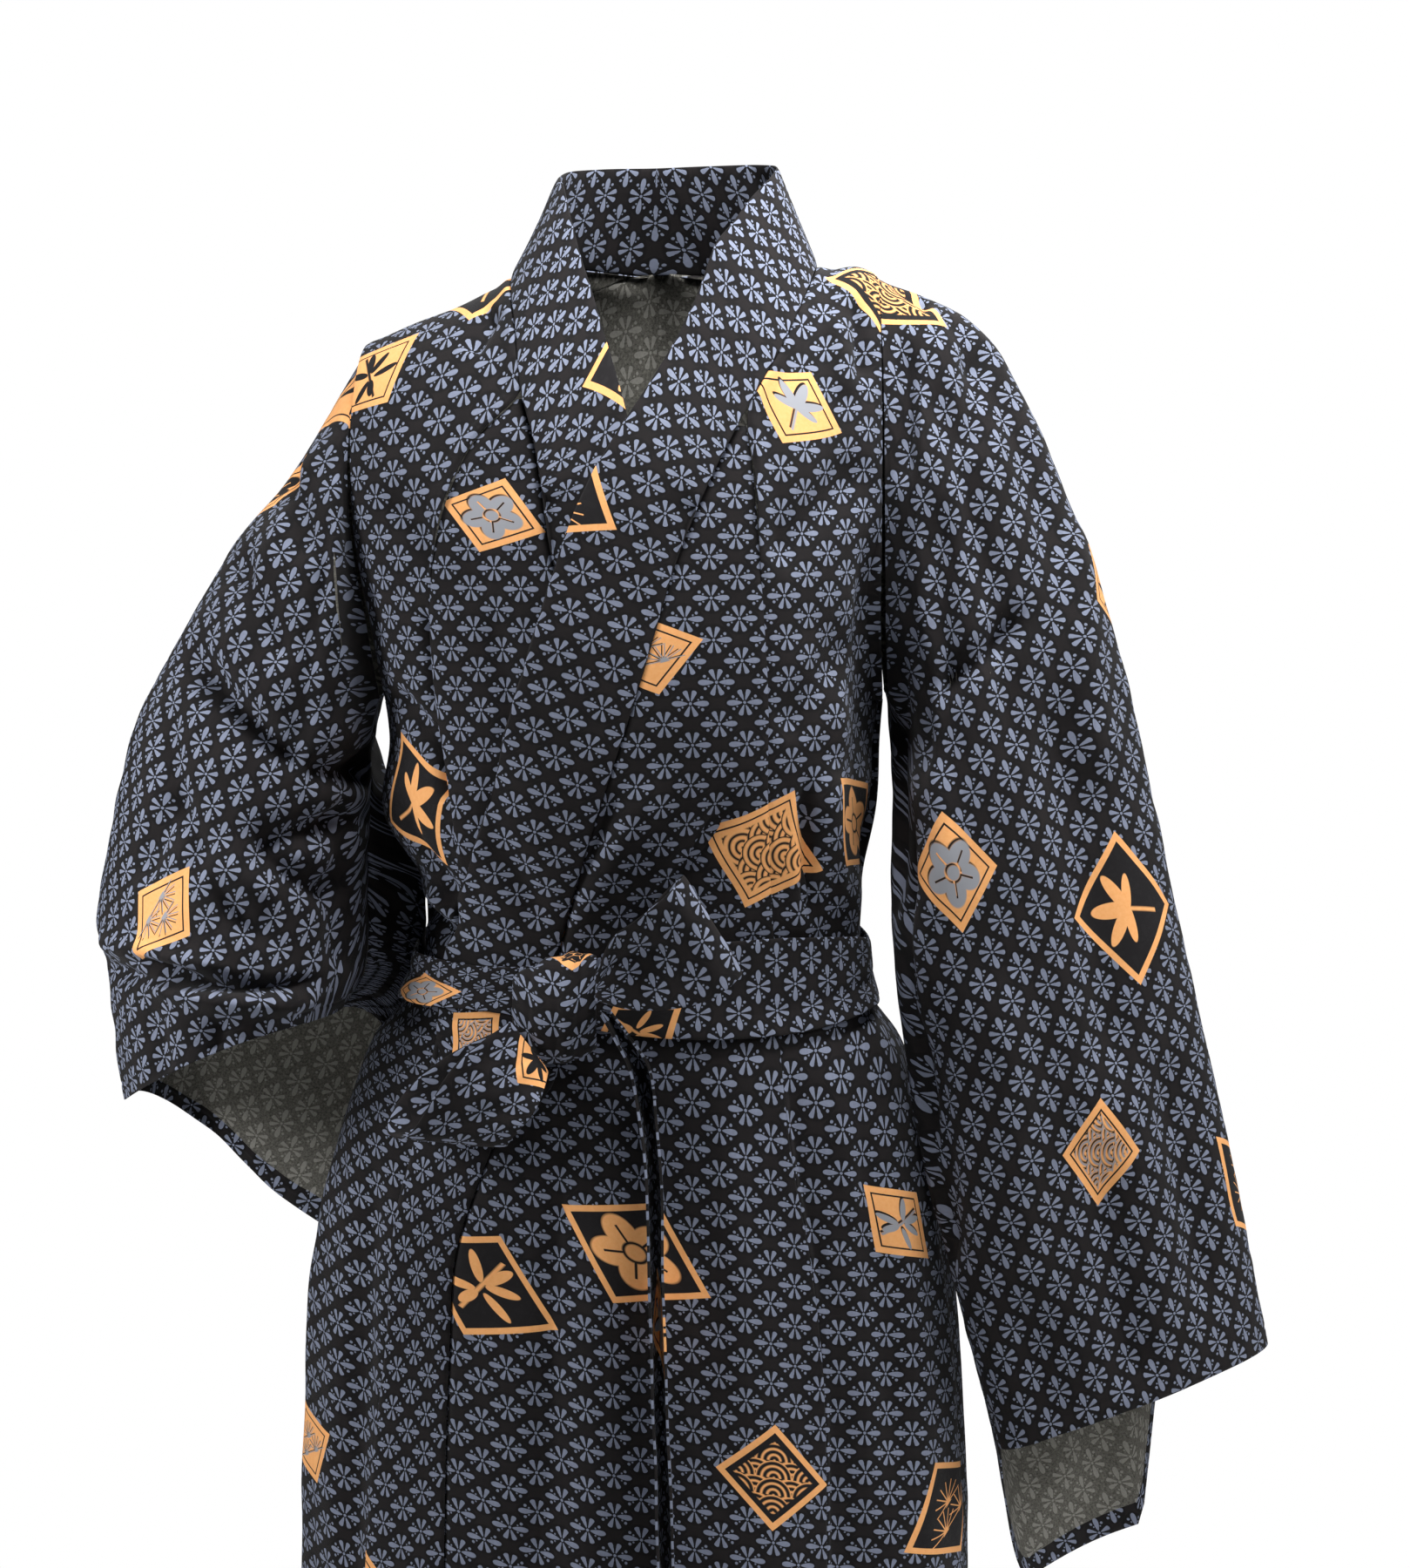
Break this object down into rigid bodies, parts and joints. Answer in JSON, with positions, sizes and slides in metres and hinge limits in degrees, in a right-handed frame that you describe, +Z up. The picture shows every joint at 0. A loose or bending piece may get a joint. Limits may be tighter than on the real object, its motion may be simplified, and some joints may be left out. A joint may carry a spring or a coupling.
{
  "type": "short yukata",
  "caption": "Short wrapped cotton yukata in its worn, hollow shape, with wide sleeves, a band collar and a narrow cloth belt tied in a bow at the front.",
  "frame": {"origin": "between the shoulders, level with the sides of the neck, where the garment hangs from the wearer", "axes": "+Z up, the front faces -Y, +X towards the wearer's left"},
  "size_m": [0.6746, 0.299, 0.9231],
  "materials": {
    "printed cotton": "matte black cotton printed all over with small slate-blue flowers and a few orange rhombic badges",
    "printed cotton, doubled": "the same printed cotton, folded double for the collar and the belt"
  },
  "bodies": {
    "root": {"body_left": "printed cotton", "body_right": "printed cotton", "okumi_left": "printed cotton", "okumi_right": "printed cotton", "sleeve_left": "printed cotton", "sleeve_right": "printed cotton", "collar": "printed cotton, doubled", "belt_wrap": "printed cotton, doubled", "belt_knot": "printed cotton, doubled", "belt_loop_upper": "printed cotton, doubled", "belt_loop_lower": "printed cotton, doubled", "belt_end_long": "printed cotton, doubled", "belt_end_short": "printed cotton, doubled"}
  },
  "joints": []
}
